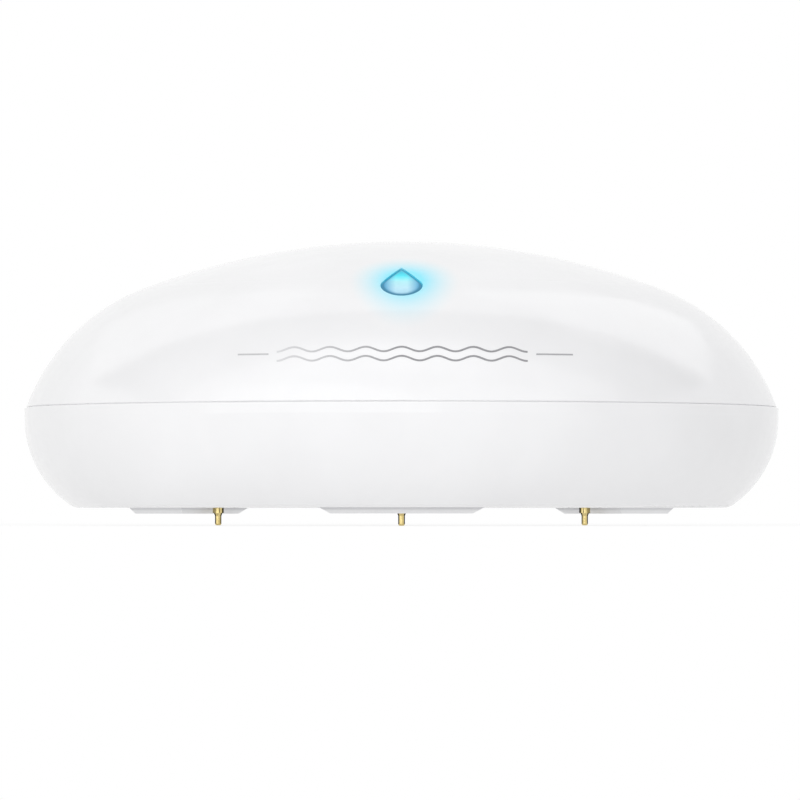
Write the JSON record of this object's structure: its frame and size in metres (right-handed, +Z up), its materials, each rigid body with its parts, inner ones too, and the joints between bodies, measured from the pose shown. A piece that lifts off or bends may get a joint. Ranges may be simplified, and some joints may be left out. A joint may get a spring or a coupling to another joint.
{
  "type": "water leak sensor",
  "caption": "Round white puck that stands on sprung gold probes, with a domed twist-off cover and a lit drop, and senses water on the floor.",
  "frame": {"origin": "on the floor, under the puck's axis, level with the tips of the probes", "axes": "+Z up along the puck's axis, -Y towards the front, where the drop is"},
  "size_m": [0.072, 0.072, 0.0271],
  "materials": {
    "shell_white": "smooth glossy white moulding",
    "drop_lens": "translucent, lit blue from inside",
    "seal_grey": "soft matt silicone",
    "pad_grey": "soft satin silicone",
    "gold_plate": "polished gold plate",
    "spring_steel": "bright wire",
    "board_green": "solder mask over glass fibre",
    "zinc_steel": "zinc plated",
    "clip_steel": "nickel plated sheet",
    "cell_wrap": "shrink wrapped metal can",
    "cradle_black": "moulded",
    "part_black": "moulded",
    "led_body": "moulded",
    "shield_tin": "tinned sheet"
  },
  "bodies": {
    "base": {"base_shell": "shell_white", "foot_pad_front": "pad_grey", "foot_pad_left": "pad_grey", "foot_pad_right": "pad_grey", "probe_barrel_front": "gold_plate", "probe_barrel_left": "gold_plate", "probe_barrel_right": "gold_plate", "circuit_board": "board_green", "board_screws": "zinc_steel", "battery_cradle": "cradle_black", "battery_cell": "cell_wrap", "battery_clip_positive": "clip_steel", "battery_clip_negative": "clip_steel", "sounder": "part_black", "indicator_light": "led_body", "pairing_switch": "part_black", "radio_shield": "shield_tin", "control_chip": "part_black", "antenna": "gold_plate", "temperature_sensor": "part_black", "probe_seals": "seal_grey", "probe_spring_front": "spring_steel", "probe_spring_left": "spring_steel", "probe_spring_right": "spring_steel"},
    "seal": {"cover_seal": "seal_grey"},
    "cover": {"top_cover": "shell_white", "drop_light_guide": "drop_lens"},
    "probe_front": {"probe_plunger_front": "gold_plate"},
    "probe_left": {"probe_plunger_left": "gold_plate"},
    "probe_right": {"probe_plunger_right": "gold_plate"},
    "button": {"pairing_button": "part_black"}
  },
  "joints": [
    {"name": "cover_lift", "type": "slide", "parent": "base", "child": "seal", "axis": [0, 0, 1], "range_m": [0, 0.0036]},
    {"name": "cover_turn", "type": "hinge", "parent": "seal", "child": "cover", "pos_m": [0, 0, 0.0112], "axis": [0, 0, 1], "range_deg": [0, 60]},
    {"name": "probe_front_press", "type": "slide", "parent": "base", "child": "probe_front", "axis": [0, 0, 1], "range_m": [0, 0.00114], "stiffness_N_per_m": 260, "springref_m": -0.00115, "deforming": ["probe_spring_front"]},
    {"name": "probe_left_press", "type": "slide", "parent": "base", "child": "probe_left", "axis": [0, 0, 1], "range_m": [0, 0.00114], "stiffness_N_per_m": 260, "springref_m": -0.00115, "deforming": ["probe_spring_left"]},
    {"name": "probe_right_press", "type": "slide", "parent": "base", "child": "probe_right", "axis": [0, 0, 1], "range_m": [0, 0.00114], "stiffness_N_per_m": 260, "springref_m": -0.00115, "deforming": ["probe_spring_right"]},
    {"name": "button_press", "type": "slide", "parent": "base", "child": "button", "axis": [0, 0, -1], "range_m": [0, 0.0003], "stiffness_N_per_m": 4000, "springref_m": -0.0001}
  ],
  "couplings": [
    {"joint": "cover_lift", "follows": "cover_turn", "m_per_rad": 0.0034377}
  ]
}
